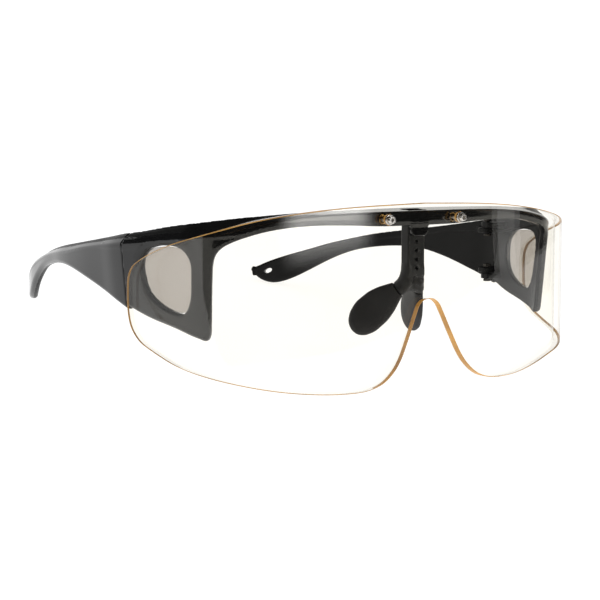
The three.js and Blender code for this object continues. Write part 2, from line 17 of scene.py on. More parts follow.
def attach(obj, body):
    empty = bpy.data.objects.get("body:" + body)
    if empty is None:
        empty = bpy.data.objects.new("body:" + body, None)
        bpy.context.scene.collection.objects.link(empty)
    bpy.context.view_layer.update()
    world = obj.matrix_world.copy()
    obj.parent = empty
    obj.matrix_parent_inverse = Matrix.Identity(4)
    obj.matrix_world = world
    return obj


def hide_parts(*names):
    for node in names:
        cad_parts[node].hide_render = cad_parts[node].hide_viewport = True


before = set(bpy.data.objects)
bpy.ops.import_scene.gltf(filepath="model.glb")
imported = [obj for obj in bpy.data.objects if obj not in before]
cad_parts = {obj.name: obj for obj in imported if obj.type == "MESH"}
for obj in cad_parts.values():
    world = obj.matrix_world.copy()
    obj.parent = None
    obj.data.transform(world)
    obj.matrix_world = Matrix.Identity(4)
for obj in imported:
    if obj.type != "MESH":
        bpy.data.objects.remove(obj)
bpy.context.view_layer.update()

# ---------- where the worn drawing stands ----------

PITCH = math.radians(7.28)
STAND_Y, STAND_Z = -76.678, 55.314
MM = 0.001

# ---------- dimensions, in millimetres ----------

GAP = 0.3
SHIELD_PLAN = dict(radius=280.0, corner_x=71.2, corner=21.0, lean=math.radians(12), front=0.0)
FRAME_PLAN = dict(radius=277.1, corner_x=65.0, corner=22.0, lean=math.radians(13), front=2.9)

SHIELD_THICK = 2.6
SHIELD_OUTLINE = [
    (0, 5.25), (30, 4.35), (50, 2.8), (68, 0.2), (86, -4.3), (100, -8.6), (107.5, -11.9), (111.2, -14.4),
    (112.9, -17.6), (113.3, -21.5), (113.3, -25.5), (113, -29.6), (111.6, -34), (108, -38.1), (101, -41.5),
    (91, -45.2), (77, -49.4), (61, -53.2), (48, -55), (36, -55.6), (27, -55.1), (21, -53.2), (16.4, -49.8),
    (13.3, -46), (9.5, -39), (5.6, -31.1), (4.1, -28.5), (2.2, -27.1), (0, -26.7),
]
BELLY_SLOPE, BELLY_BELOW, BELLY_FROM, BELLY_TO = 0.085, -4.0, 30.0, 72.0
SCREW_S = 15.8
SHIELD_HOLE, HOLE_SIDES = 1.6, 32
NOTCH_S, NOTCH_Z = 24, -26
# coats of the shield's faces: clear; amber with a painted glow on the notch and on the front bands of the
# edge; a darker rim tint that is painted shade
CLEAR_COAT, NOTCH_COAT, EDGE_COAT, RIM_COAT = range(4)
NOTCH_BANDS, EDGE_BANDS = 4, 3
# inset, depth and turn of each ring of the shield's rounded edge, from the front to the back
EDGE_RINGS = [
    (0.3, 0, 0), (0.09, 0.09, math.radians(45)), (0, 0.3, math.pi / 2), (0, 1.0, math.pi / 2),
    (0, 2.1, math.pi / 2), (0, 2.3, math.pi / 2), (0.09, 2.51, math.radians(135)), (0.3, 2.6, math.pi),
]

FACE_TOP = [
    (0, 2.3), (20, 2.2), (33, 1.95), (42, 1.55), (52, 0.8), (60, -0.2), (67, -1.6), (76, -3.5), (87, -5.1),
    (96, -6.1), (105, -6.8), (118, -7.8),
]
CREST = [
    (0, 3.3), (22, 3.1), (45, 2.7), (62, 1.8), (72, 1.2), (84, 0.1), (93, -0.9), (100, -1.9), (107, -3.1),
    (118, -4.6),
]
FRAME_DEPTH = [(0, 9), (22, 8.6), (36, 7), (50, 6), (64, 6), (76, 5.2), (86, 4.4), (118, 4.1)]
BAR_LOW = [
    (0, -2.4), (16, -2.3), (30, -1.7), (41, -1.5), (51, -1.9), (59, -2.9), (65, -4.2), (70, -5.7), (74, -7.6),
    (80, -25), (118, -27),
]
LOWER_EDGE = [
    (0, -2.4), (16, -2.3), (30, -1.7), (41, -1.5), (51, -1.9), (59, -2.9), (65, -4.2), (70, -5.7), (74, -7.6),
    (76.6, -10), (77.9, -13), (78.7, -18), (79.5, -25), (80.3, -32), (80.9, -35.9), (82.2, -37.5),
    (85.6, -36.8), (95, -34.1), (106, -31.3), (118, -26.9),
]
PANEL_WALL = 2.9
LIP_DROP = 5.6
LEAN_SLOPE, LEAN_BELOW, LEAN_FROM, LEAN_OVER = 0.095, -8.0, 70, 8
WINDOW = [
    (89.6, -8.3), (101.6, -8.3), (106.6, -12), (107.2, -17), (105.6, -22.5), (101.1, -26.4), (94.1, -29),
    (89.8, -28.9), (87.2, -25), (86.2, -19), (86.1, -12),
]
PANE_OUTER, PANE_INNER = 1.3, 2.6
WINDOW_FLARE, FLARE_DEPTH = 2.4, 1.25

TEMPLE_X = [
    (44, 85.2), (51.5, 86.8), (57, 87), (66, 86.3), (78, 85.2), (90, 83.5), (100, 81.5), (111, 78.5),
    (122, 75.4), (134, 71.5), (145, 67.6), (154, 63.6), (162, 59.4), (168.7, 55),
]
TEMPLE_CREST = [
    (44, -2.9), (64, -5.8), (90, -9.4), (114, -12.6), (134, -16.7), (145, -19.8), (155, -22.8), (163, -25.7),
    (168.7, -28.4),
]
TEMPLE_FACE_TOP = [
    (44, -7), (56, -8.1), (69, -9.4), (82, -10.9), (95, -12.9), (110, -14.4), (134, -18), (155, -24),
    (168.7, -29.2),
]
TEMPLE_LIP = [
    (44, -8.8), (55, -9.4), (77, -10.3), (95, -12.7), (114, -15), (134, -19.2), (155, -25.5), (168.7, -30.3),
]
TEMPLE_LOWER = [
    (44, -31.8), (51.5, -29.3), (58, -26.9), (66, -24.3), (75, -21.6), (86, -18.9), (93, -17.7), (100, -17.2),
    (110, -17.6), (120, -18.9), (127, -20.6), (134, -23.2), (140, -26), (147, -29.6), (153, -32.6),
    (158, -34.5), (162, -35.1), (165.6, -34.3), (168, -32.6), (168.8, -30.8), (168.4, -28.8), (166.5, -26.6),
    (160, -20),
]
TEMPLE_DEPTH = [(44, 4.1), (60, 4), (80, 3.6), (100, 3.2), (140, 3.4), (160, 3.3), (168.7, 3)]
TEMPLE_WALL = [(44, 2.9), (100, 2.9), (120, 3.1), (140, 3.4), (160, 3.3), (168.7, 3)]
EYELET = dict(y=163.5, z=-30.0, half_length=1.8, r=0.9)

HINGE_X, HINGE_Y, PARTING = 78.6, 51.5, 0.15
LUG_R, LUG, LUG_BORE = 2.4, 2.0, 1.1
UPPER_LOW, LOWER_LOW = -9.8, -27.2
UPPER_ROOT, LOWER_ROOT = (3.2, 9.0), (3.6, 6.0)

PAD_ROOT = np.array([4.4, 9.2, -24.0])
PAD_TIP = np.array([13.0, 23.2, -38.1])
PAD_ACROSS = np.array([-0.137, -0.82, -0.556])
PAD_HALF_WIDTH = [
    (0, 2.9), (0.12, 4.1), (0.26, 5.4), (0.46, 6.4), (0.64, 6.5), (0.82, 5.5), (0.94, 3.6), (1, 1.6),
]
PAD_HALF_THICK = [(0, 1.6), (0.3, 1.7), (0.7, 1.7), (0.9, 1.5), (1, 1.0)]
PAD_DISH, PAD_DISH_WIDTH = 0.45, 7
PAD_POCKET = dict(half_width=2.3, half_thick=0.85, share=0.52)
PAD_TONGUE = dict(half_width=2.0, half_thick=0.55, middle=0.2, half_share=0.3)

LATCH = dict(half_width=3.9, top=-1.0, bottom=-6, corner=2.3, half_thick=0.6, fillet=0.7)
BLOCK_SLOT = dict(half_width=4.0, y=6.475, half_depth=2.325)
INSERT_BORE = dict(r=1.95, depth=5.4)
STRIP = dict(half_width=3.65, y=6.45, half_depth=1.95, top=2.1, bottom=-19.5)
STRIP_HOLES = dict(count=5, r=0.65, first=-4.8, pitch=3)
WEB = dict(half_width=3.5, flare=0.2, y=6.2, half_depth=1.5, slope=0.22, below=-17, top=-16, bottom=-25.2)
ARCH = dict(r=4.2, top=-24.6)
ARM_PATH = [np.array([2.0, 6.4, -17.0]), np.array([2.5, 6.9, -20.6])]
ARM_HALF_WIDTHS, ARM_HALF_THICKS = (1.7, 2.2, 2.8), (1.5, 1.5, 1.5)

SHIELD_SCREW = dict(base=0.75, head_r=1.25, head=1.35, shank_r=0.8, length=7.4, socket=0.62, floor=0.4)
THREAD = dict(height=0.05, pitch=0.35)
WASHER = dict(inner=1.1, outer=1.75, middle=0.375, half_thick=0.225)
INSERT = dict(inner=1.1, outer=1.68, middle=5.5, half_length=2.3)
KNURL = dict(height=0.06, teeth=24, middle=1.2, half_length=0.8)
HINGE_SCREW = dict(clear=0.2, head_r=1.45, head=0.9, shank_r=0.75, length=5.9, slot_half=0.2, slot=0.4)
HINGE_NUT = dict(clear=0.2, half_across=1.38, corner_r=1.56, bore=1.0, half_thick=0.55)

# ---------- roundings, in millimetres ----------

FINE_ROUND, EDGE_ROUND, LUG_ROUND, PART_ROUND = 0.2, 0.3, 0.25, 0.45
SKIN_ROUND, CAP_ROUND, LIP_ROUND = 0.5, 0.9, 0.6
BAR_ROUND, PANEL_ROUND, PANEL_ROUND_FROM, PANEL_ROUND_TO = 0.45, 1.5, 66, 80
TIP_FROM, TIP_TO, TEMPLE_EDGE_ROUND = 105, 150, 1.55
INNER_DEPTH = 1.6

# ---------- curves and fields ----------


def smooth(knots, step=0.05):
    """Smooth curve through knots that never overshoots them, as a fast lookup."""
    k = np.array(knots, float)
    x, y = k[:, 0], k[:, 1]
    rise = np.diff(y) / np.diff(x)
    slope = np.empty(len(x))
    slope[0], slope[-1] = rise[0], rise[-1]
    before, after = rise[:-1], rise[1:]
    total = before + after
    total[total == 0] = 1.0
    slope[1:-1] = np.where(before * after <= 0, 0, 2 * before * after / total)
    xs = np.linspace(x[0], x[-1], max(int((x[-1] - x[0]) / step), 200))
    i = np.clip(np.searchsorted(x, xs, side="right") - 1, 0, len(x) - 2)
    w = x[i + 1] - x[i]
    t = (xs - x[i]) / w
    ys = y[i] * (1 + 2 * t) * (1 - t) ** 2 + y[i + 1] * t * t * (3 - 2 * t)
    ys += w * (slope[i] * t * (1 - t) ** 2 - slope[i + 1] * t * t * (1 - t))
    return lambda v: np.interp(v, xs, ys)


def spline(points, closed, count=8):
    """Centripetal Catmull-Rom curve through points."""
    p = np.array(points, float)
    if closed:
        p = np.vstack([p[-1], p, p[0], p[1]])
    else:
        p = np.vstack([2 * p[0] - p[1], p, 2 * p[-1] - p[-2]])
    out = []
    for a, b, c, d in zip(p[:-3], p[1:-2], p[2:-1], p[3:]):
        t0 = 0.0
        t1 = t0 + math.sqrt(math.dist(a, b))
        t2 = t1 + math.sqrt(math.dist(b, c))
        t3 = t2 + math.sqrt(math.dist(c, d))
        for t in np.linspace(t1, t2, count, endpoint=False):
            a1 = (t1 - t) / (t1 - t0) * a + (t - t0) / (t1 - t0) * b
            a2 = (t2 - t) / (t2 - t1) * b + (t - t1) / (t2 - t1) * c
            a3 = (t3 - t) / (t3 - t2) * c + (t - t2) / (t3 - t2) * d
            b1 = (t2 - t) / (t2 - t0) * a1 + (t - t0) / (t2 - t0) * a2
            b2 = (t3 - t) / (t3 - t1) * a2 + (t - t1) / (t3 - t1) * a3
            out.append((t2 - t) / (t2 - t1) * b1 + (t - t1) / (t2 - t1) * b2)
    if not closed:
        out.append(p[-2])
    return np.array(out)


def outline_field(polygon, low, high, step=0.2):
    """Signed distance to a closed polygon, negative inside, as a lookup over a flat rectangle."""
    poly = np.asarray(polygon, float)
    u = np.arange(low[0], high[0] + step, step)
    v = np.arange(low[1], high[1] + step, step)
    uu, vv = np.meshgrid(u, v, indexing="ij")
    best = np.full(uu.shape, 1e9)
    inside = np.zeros(uu.shape, bool)
    for a, b in zip(poly, np.roll(poly, -1, axis=0)):
        e = b - a
        along = np.clip(((uu - a[0]) * e[0] + (vv - a[1]) * e[1]) / max(e @ e, 1e-12), 0, 1)
        best = np.minimum(best, (uu - a[0] - along * e[0]) ** 2 + (vv - a[1] - along * e[1]) ** 2)
        crosses = (a[1] > vv) != (b[1] > vv)
        if e[1] != 0:
            inside ^= crosses & (uu < a[0] + (vv - a[1]) * e[0] / e[1])
    table = np.where(inside, -1, 1) * np.sqrt(best)

    def look(s, z):
        i = np.clip((s - low[0]) / step, 0, len(u) - 1.001)
        j = np.clip((z - low[1]) / step, 0, len(v) - 1.001)
        i0, j0 = i.astype(int), j.astype(int)
        fi, fj = i - i0, j - j0
        near = table[i0, j0] * (1 - fi) + table[i0 + 1, j0] * fi
        far = table[i0, j0 + 1] * (1 - fi) + table[i0 + 1, j0 + 1] * fi
        return near * (1 - fj) + far * fj

    return look


def rmax(a, b, r):
    """Intersection with its edge rounded to radius r."""
    inner = np.minimum(np.maximum(a + r, b + r), 0)
    return inner + np.hypot(np.maximum(a + r, 0), np.maximum(b + r, 0)) - r


def rmin(a, b, r):
    """Union with its corner filled to radius r."""
    return -rmax(-a, -b, r)


def step_between(v, low, high):
    """Smooth step from 0 at low to 1 at high."""
    t = np.clip((v - low) / (high - low), 0, 1)
    return t * t * (3 - 2 * t)


def blend(a, b, t):
    """Mix of a and b, by the share t of b."""
    return a + (b - a) * t


def unroll(plan, x, y):
    """Distance along a wraparound plan, and depth inside it, of points on its right half."""
    radius, corner = plan["radius"], plan["corner"]
    start = math.asin(plan["corner_x"] / radius)
    end = math.pi / 2 - plan["lean"]
    cy = plan["front"] + radius
    wide = np.arctan2(x, cy - y)
    c1x = (radius - corner) * math.sin(start)
    c1y = cy - (radius - corner) * math.cos(start)
    turn = np.arctan2(x - c1x, c1y - y)
    leg_x = c1x + corner * math.sin(end)
    leg_y = c1y - corner * math.cos(end)
    leg_at = radius * start + corner * (end - start)
    ux, uy = math.cos(end), math.sin(end)
    s_leg = leg_at + (x - leg_x) * ux + (y - leg_y) * uy
    d_leg = -(x - leg_x) * uy + (y - leg_y) * ux
    on_leg = s_leg > leg_at
    s_corner = radius * start + corner * (turn - start)
    s = np.where(wide < start, radius * wide, np.where(on_leg, s_leg, s_corner))
    d_round = np.where(wide < start, radius - np.hypot(x, cy - y), corner - np.hypot(x - c1x, y - c1y))
    d = np.where(on_leg & (wide >= start), d_leg, d_round)
    return s, d


def plan_point(plan, s):
    """Where the front arc of a plan passes at a distance s along it, with its outward direction."""
    a = s / plan["radius"]
    x = plan["radius"] * math.sin(a)
    y = plan["front"] + plan["radius"] * (1 - math.cos(a))
    return x, y, math.sin(a), -math.cos(a)


# ---------- from field to mesh ----------

CORNERS = [(i, j, k) for i in (0, 1) for j in (0, 1) for k in (0, 1)]
EDGES = [
    (a, b) for a in CORNERS for b in CORNERS
    if sum(b) - sum(a) == 1 and all(q >= p for p, q in zip(a, b))
]


def surface_net(field, low, high, cell):
    """Closed quad mesh of field = 0, with each vertex pulled exactly on to the surface."""
    low = np.array(low, float)
    count = np.ceil((np.array(high, float) - low) / cell).astype(int) + 1
    axes = [low[i] + cell * np.arange(count[i]) for i in range(3)]
    values = np.empty(count)
    for i in range(0, count[0], 32):
        gx, gy, gz = np.meshgrid(axes[0][i : i + 32], axes[1], axes[2], indexing="ij")
        values[i : i + 32] = field(gx, gy, gz)
    inside = values < 0

    def at(grid, corner):
        return grid[tuple(slice(c, n - 1 + c) for c, n in zip(corner, count))]

    some = np.zeros(count - 1, bool)
    every = np.ones(count - 1, bool)
    for corner in CORNERS:
        some |= at(inside, corner)
        every &= at(inside, corner)
    cells = np.argwhere(some & ~every)
    index = np.full(count - 1, -1)
    index[tuple(cells.T)] = np.arange(len(cells))
    total = np.zeros((len(cells), 3))
    hits = np.zeros(len(cells))
    for a, b in EDGES:
        fa = values[tuple((cells + a).T)]
        fb = values[tuple((cells + b).T)]
        crossed = (fa < 0) != (fb < 0)
        t = np.where(crossed, fa / np.where(crossed, fa - fb, 1), 0)
        point = cells + np.array(a) + t[:, None] * (np.array(b) - np.array(a))
        total += np.where(crossed[:, None], point, 0)
        hits += crossed
    points = low + cell * total / hits[:, None]
    for _ in range(5):
        f, g = with_gradient(field, points)
        move = -f[:, None] * g / np.maximum((g * g).sum(1), 0.05)[:, None]
        size = np.linalg.norm(move, axis=1)
        points += move * np.minimum(1, 0.4 * cell / np.maximum(size, 1e-9))[:, None]
    quads = []
    for axis in range(3):
        b, c = (axis + 1) % 3, (axis + 2) % 3
        span = [slice(0, n) for n in count]
        span[axis] = slice(0, count[axis] - 1)
        nxt = list(span)
        nxt[axis] = slice(1, count[axis])
        change = inside[tuple(span)] != inside[tuple(nxt)]
        where = np.argwhere(change)
        inner = (where[:, b] > 0) & (where[:, c] > 0)
        inner &= (where[:, b] < count[b] - 1) & (where[:, c] < count[c] - 1)
        where = where[inner]
        shift_b, shift_c = np.eye(3, dtype=int)[b], np.eye(3, dtype=int)[c]
        ring = [where - shift_b - shift_c, where - shift_c, where, where - shift_b]
        quad = np.stack([index[tuple(r.T)] for r in ring], axis=1)
        outwards = inside[tuple(where.T)]
        quad[~outwards] = quad[~outwards][:, ::-1]
        quads.append(quad)
    normals = with_gradient(field, points)[1]
    return points, np.vstack(quads), normals


def with_gradient(field, p, h=0.02):
    """The field and its slope at points."""
    x, y, z = p[:, 0], p[:, 1], p[:, 2]
    gx = (field(x + h, y, z) - field(x - h, y, z)) / (2 * h)
    gy = (field(x, y + h, z) - field(x, y - h, z)) / (2 * h)
    gz = (field(x, y, z + h) - field(x, y, z - h)) / (2 * h)
    return field(x, y, z), np.stack([gx, gy, gz], axis=1)


def pitched(p):
    """Directions or places turned from the worn drawing to the table."""
    c, s = math.cos(PITCH), math.sin(PITCH)
    x, y, z = p[:, 0], p[:, 1], p[:, 2]
    return np.stack([x, y * c + z * s, -y * s + z * c], axis=1)


def to_table(p):
    """Worn millimetres to table metres."""
    return MM * (pitched(p) + (0, STAND_Y, STAND_Z))


def make_piece(name, mesh, materials, body, nodes, paint=None, mirror=False):
    """A Blender object from points, faces and normals, riding on a body and standing for CAD nodes."""
    points, faces, normals = mesh
    if mirror:
        points = points * (-1, 1, 1)
        normals = normals * (-1, 1, 1)
        faces = faces[:, ::-1]
    data = bpy.data.meshes.new(name)
    data.from_pydata(to_table(points), [], faces if isinstance(faces, list) else faces.tolist())
    data.validate()
    for material in materials:
        data.materials.append(material)
    if paint is not None:
        data.polygons.foreach_set("material_index", np.array(paint, np.int32))
    data.shade_smooth()
    n = pitched(normals)
    n /= np.maximum(np.linalg.norm(n, axis=1), 1e-9)[:, None]
    data.normals_split_custom_set_from_vertices(n.tolist())
    piece = bpy.data.objects.new(name, data)
    bpy.context.scene.collection.objects.link(piece)
    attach(piece, body)
    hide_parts(*nodes)
    return piece


def make_pair(name, mesh, materials, bodies, paint=None):
    """The right piece and its mirror image on the left."""
    for side, mirror in (("right", False), ("left", True)):
        body = bodies.format(side) if "{}" in bodies else bodies
        nodes = [f"{name}_{side}"]
        piece = make_piece(f"{name}_{side}_look", mesh, materials, body, nodes, paint, mirror)


# ---------- the fields of the pieces ----------

half_shield = spline(SHIELD_OUTLINE, False)
SHIELD_SIDE = outline_field(np.vstack([half_shield, half_shield[::-1] * (-1, 1)]), (-6, -62), (120, 12))
EDGE_CURVE = spline(LOWER_EDGE, False)
LOWER = outline_field(np.vstack([EDGE_CURVE, [(140, 40), (-20, 40), (-20, -2.4)]]), (-8, -44), (122, 12))
WINDOW_SIDE = outline_field(spline(WINDOW, True), (74, -40), (120, 2))
TEMPLE_SIDE = outline_field(
    np.vstack([spline(TEMPLE_LOWER, False), [(150, 10), (30, 10), (30, -31.8)]]), (40, -42), (176, 6)
)
face_top, crest_of, depth_of, bar_low = smooth(FACE_TOP), smooth(CREST), smooth(FRAME_DEPTH), smooth(BAR_LOW)
temple_x, temple_crest, temple_face = smooth(TEMPLE_X), smooth(TEMPLE_CREST), smooth(TEMPLE_FACE_TOP)
temple_lip, temple_depth, temple_wall = smooth(TEMPLE_LIP), smooth(TEMPLE_DEPTH), smooth(TEMPLE_WALL)
pad_width, pad_thick = smooth(PAD_HALF_WIDTH, 0.002), smooth(PAD_HALF_THICK, 0.002)


def shield_point(s, z, depth):
    """Worn position of points of the shield, from their place along it, height and depth."""
    radius, corner = SHIELD_PLAN["radius"], SHIELD_PLAN["corner"]
    start = math.asin(SHIELD_PLAN["corner_x"] / radius)
    end = math.pi / 2 - SHIELD_PLAN["lean"]
    far = np.abs(s)
    wide = np.minimum(far / radius, start)
    turn = np.clip(start + (far - radius * start) / corner, start, end)
    turn = np.where(wide < start, wide, turn)
    leg = np.maximum(far - radius * start - corner * (end - start), 0)
    x = (radius - corner) * np.sin(wide) + (corner - depth) * np.sin(turn) + leg * math.cos(end)
    y = radius - (radius - corner) * np.cos(wide) - (corner - depth) * np.cos(turn)
    share = 1 - step_between(far, BELLY_FROM, BELLY_TO)
    y = y + leg * math.sin(end) + BELLY_SLOPE * np.minimum(z - BELLY_BELOW, 0) * share
    return np.stack([np.sign(s) * x, y, z], axis=1)


def inside_loop(loop, points):
    """Which points lie inside a closed polygon."""
    inside = np.zeros(len(points), bool)
    u, v = points[:, 0], points[:, 1]
    for a, b in zip(loop, np.roll(loop, -1, axis=0)):
        if a[1] != b[1]:
            crosses = (a[1] > v) != (b[1] > v)
            inside ^= crosses & (u < a[0] + (v - a[1]) * (b[0] - a[0]) / (b[1] - a[1]))
    return inside


def shield_loops():
    """The outline of the whole shield and of its two screw holes, each with the material on its right."""
    half = spline(SHIELD_OUTLINE, False)
    ring = np.linspace(0, 2 * math.pi, HOLE_SIDES, endpoint=False)
    loops = [np.vstack([half, half[-2:0:-1] * (-1, 1)])]
    circle = SHIELD_HOLE * np.stack([np.cos(ring), np.sin(ring)], axis=1)
    for side in (-1, 1):
        loops.append(circle + (side * SCREW_S, 0))
    return loops


def outwards_of(loop):
    """Direction out of the material at each point of a loop."""
    ahead = np.roll(loop, -1, axis=0) - np.roll(loop, 1, axis=0)
    out = np.stack([-ahead[:, 1], ahead[:, 0]], axis=1)
    return out / np.linalg.norm(out, axis=1)[:, None]


def rim_rings(loop, out):
    """Points and normals of the rounded rim along one loop, from the front face to the back."""
    points, normals = [], []
    for inset, depth, turn in EDGE_RINGS:
        flat = loop - out * inset
        here = shield_point(flat[:, 0], flat[:, 1], depth)
        sideways = shield_point(flat[:, 0] + 0.1 * out[:, 0], flat[:, 1] + 0.1 * out[:, 1], depth) - here
        deeper = shield_point(flat[:, 0], flat[:, 1], depth + 0.1) - here
        points.append(here)
        normals.append(math.sin(turn) * sideways - math.cos(turn) * deeper)
    return points, normals


def rim_faces(loop, first):
    """Faces of one rim, and which coat each of them wears."""
    n = len(loop)
    notch = (np.abs(loop[:, 0]) < NOTCH_S) & (loop[:, 1] < NOTCH_Z)
    faces, coats = [], []
    for k in range(len(EDGE_RINGS) - 1):
        a = first + k * n
        for i in range(n):
            j = (i + 1) % n
            faces.append((a + i, a + j, a + n + j, a + n + i))
            if k < NOTCH_BANDS and notch[i]:
                coats.append(NOTCH_COAT)
            elif k < EDGE_BANDS:
                coats.append(EDGE_COAT)
            else:
                coats.append(RIM_COAT)
    return faces, coats


def shield_grid(outline):
    """Places inside the outline, clear of its edge and of the screw holes, that keep the faces smooth."""
    uu, vv = np.meshgrid(np.arange(-112, 112.1, 2.0), np.arange(-55, 5.1, 2.0), indexing="ij")
    grid = np.stack([uu.ravel(), vv.ravel()], axis=1)
    far = np.abs(grid[:, 0])
    clear = inside_loop(outline, grid) & (np.abs(SHIELD_SIDE(far, grid[:, 1])) > 1.0)
    clear &= np.hypot(far - SCREW_S, grid[:, 1]) > SHIELD_HOLE + 1
    return grid[clear]


def shield_triangles(rims, grid):
    """Triangles that fill the inner edges of the rims, as indices into rims then grid."""
    flat = np.vstack([r[2] for r in rims] + [grid])
    ties = []
    at = 0
    for _, n, _ in rims:
        ties += [(at + i, at + (i + 1) % n) for i in range(n)]
        at += n
    cut = delaunay_2d_cdt([Vector(q) for q in flat.tolist()], ties, [], 0, 1e-6)
    same = [o[0] for o in cut[3]]
    triangles = np.array([[same[i] for i in f] for f in cut[2]])
    centre = flat[triangles].mean(axis=1)
    keep = inside_loop(rims[0][2], centre)
    keep &= np.hypot(np.abs(centre[:, 0]) - SCREW_S, centre[:, 1]) > SHIELD_HOLE
    return triangles[keep].tolist()


def shield_mesh():
    """Points, faces and normals of the shield, and the coat of each face."""
    points, normals, faces, coats, rims = [], [], [], [], []
    count = 0
    loops = shield_loops()
    for loop in loops:
        out = outwards_of(loop)
        rims.append((count, len(loop), loop - out * EDGE_RINGS[0][0]))
        ring_points, ring_normals = rim_rings(loop, out)
        ring_faces, ring_coats = rim_faces(loop, count)
        points += ring_points
        normals += ring_normals
        faces += ring_faces
        coats += ring_coats
        count += len(loop) * len(EDGE_RINGS)
    grid = shield_grid(loops[0])
    last = len(EDGE_RINGS) - 1
    front = [first + i for first, n, _ in rims for i in range(n)]
    front += [count + i for i in range(len(grid))]
    back = [first + last * n + i for first, n, _ in rims for i in range(n)]
    back += [count + len(grid) + i for i in range(len(grid))]
    for depth, sign in ((0, -1), (SHIELD_THICK, 1)):
        here = shield_point(grid[:, 0], grid[:, 1], depth)
        points.append(here)
        normals.append(sign * (shield_point(grid[:, 0], grid[:, 1], depth + 0.1) - here))
    for a, b, c in shield_triangles(rims, grid):
        faces.append((front[a], front[b], front[c]))
        faces.append((back[c], back[b], back[a]))
        coats += [CLEAR_COAT, CLEAR_COAT]
    return (np.vstack(points), faces, np.vstack(normals)), coats


def lug_field(x, y, z, low, towards, root, wall_depth):
    """Hinge lug: a disc about the axis with an arm that runs into the wall."""
    px, py = x - HINGE_X, (y - HINGE_Y) * towards
    disc = np.hypot(px, py) - LUG_R
    reach, back = root
    nx, ny = -(back - 2.5), reach + LUG_R
    diagonal = ((px + LUG_R) * nx + (py - 2.5) * ny) / math.hypot(nx, ny)
    arm = np.maximum(np.maximum(-LUG_R - px, diagonal), np.maximum(PARTING - py, 0.9 - wall_depth))
    arm = np.where(px > 0, arm, np.maximum(arm, -py))
    flat = np.abs(z - low - LUG / 2) - LUG / 2
    return rmax(np.minimum(disc, arm), flat, LUG_ROUND)


def bore_field(x, y):
    """Distance from the wall of the hinge bore."""
    return np.hypot(x - HINGE_X, y - HINGE_Y) - LUG_BORE


def panel_coords(x, y, z):
    """Place along the frame and depth inside it, with the inward lean of the side panels undone."""
    s, _ = unroll(FRAME_PLAN, x, y)
    share = np.clip((s - LEAN_FROM) / LEAN_OVER, 0, 1)
    return unroll(FRAME_PLAN, x + LEAN_SLOPE * np.maximum(0, LEAN_BELOW - z) * share, y)


def roof_field(z, d, face, crest, depth):
    """Distance above the sloping roof that runs from the face to the crest."""
    slope = (crest - face) / (depth - 0.5)
    return (z - face - slope * np.clip(d, -1, depth)) / np.sqrt(1 + slope * slope)


def latch_field(x, z, d):
    """The U-shaped tongue below the centre of the bar."""
    tongue = rmax(x - LATCH["half_width"], LATCH["bottom"] - z, LATCH["corner"])
    tongue = rmax(tongue, z - LATCH["top"], 0.1)
    return rmax(tongue, np.abs(d - LATCH["half_thick"]) - LATCH["half_thick"], EDGE_ROUND)


def frame_field(x, y, z):
    """Brow bar, centre block, side panels, latch and hinge lugs."""
    ax = np.abs(x)
    s, d = panel_coords(ax, y, z)
    face, crest, depth = face_top(s), crest_of(s), depth_of(s)
    side = step_between(s, PANEL_ROUND_FROM, PANEL_ROUND_TO)
    skin = rmax(-d, roof_field(z, d, face, crest, depth), SKIN_ROUND)
    wall = rmax(skin, LOWER(s, z), blend(BAR_ROUND, PANEL_ROUND, side))
    wall = rmax(wall, d - PANEL_WALL, SKIN_ROUND)
    lip = np.maximum(bar_low(s) + 0.9, crest - LIP_DROP)
    cap = rmax(rmax(skin, d - depth, CAP_ROUND), lip - z, LIP_ROUND)
    body = rmin(wall, cap, LIP_ROUND)
    body = rmax(body, y - (HINGE_Y - PARTING), PART_ROUND)
    flare = WINDOW_FLARE * (1 - np.sqrt(1 - np.clip(1 - d / FLARE_DEPTH, 0, 1) ** 2))
    body = rmax(body, flare - WINDOW_SIDE(s, z), FINE_ROUND)
    body = rmin(body, latch_field(ax, z, d), LATCH["fillet"])
    for low, root in ((UPPER_LOW + LUG + GAP, UPPER_ROOT), (LOWER_LOW, LOWER_ROOT)):
        body = rmin(body, lug_field(ax, y, z, low, -1, root, d), EDGE_ROUND)
    body = np.maximum(body, -bore_field(ax, y))
    slot = np.abs(y - BLOCK_SLOT["y"]) - BLOCK_SLOT["half_depth"]
    slot = np.maximum(ax - BLOCK_SLOT["half_width"], slot)
    bore = np.maximum(np.hypot(s - SCREW_S, z) - INSERT_BORE["r"], d - INSERT_BORE["depth"])
    return rmax(rmax(body, -slot, FINE_ROUND), -bore, FINE_ROUND)


def temple_coords(x, y, z):
    """Place along a temple and depth inside its outer face."""
    share = 1 - step_between(y, 62, 100)
    x = x + LEAN_SLOPE * np.maximum(0, LEAN_BELOW - z) * share
    at = y
    for _ in range(2):
        slope = temple_x(at + 0.5) - temple_x(at - 0.5)
        length = np.sqrt(1 + slope * slope)
        d = (temple_x(at) - x + (y - at) * slope) / length
        at = y - slope * d / length
    return at, d


def temple_depth_at(x, y, z):
    return temple_coords(x, y, z)[1]


def inner_faces(mesh, depth_at):
    """1 for the faces that lie deep inside the outer skin, 0 for the others."""
    centre = mesh[0][mesh[1]].mean(axis=1)
    return (depth_at(np.abs(centre[:, 0]), centre[:, 1], centre[:, 2]) > INNER_DEPTH).astype(int)


def frame_depth(x, y, z):
    """Depth inside the outer face of the side panels; nothing counts as deep on the brow bar."""
    s, d = panel_coords(x, y, z)
    return np.where(s > 62, d, 0)


def eyelet_field(at, z):
    """Negative inside the oval hole near the tip of a temple."""
    along = np.abs((at - EYELET["y"]) * 0.9 - (z - EYELET["z"]) * 0.44) / EYELET["half_length"]
    tall = ((at - EYELET["y"]) * 0.44 + (z - EYELET["z"]) * 0.9) / EYELET["r"]
    return (np.hypot(along, tall) - 1) * EYELET["r"]


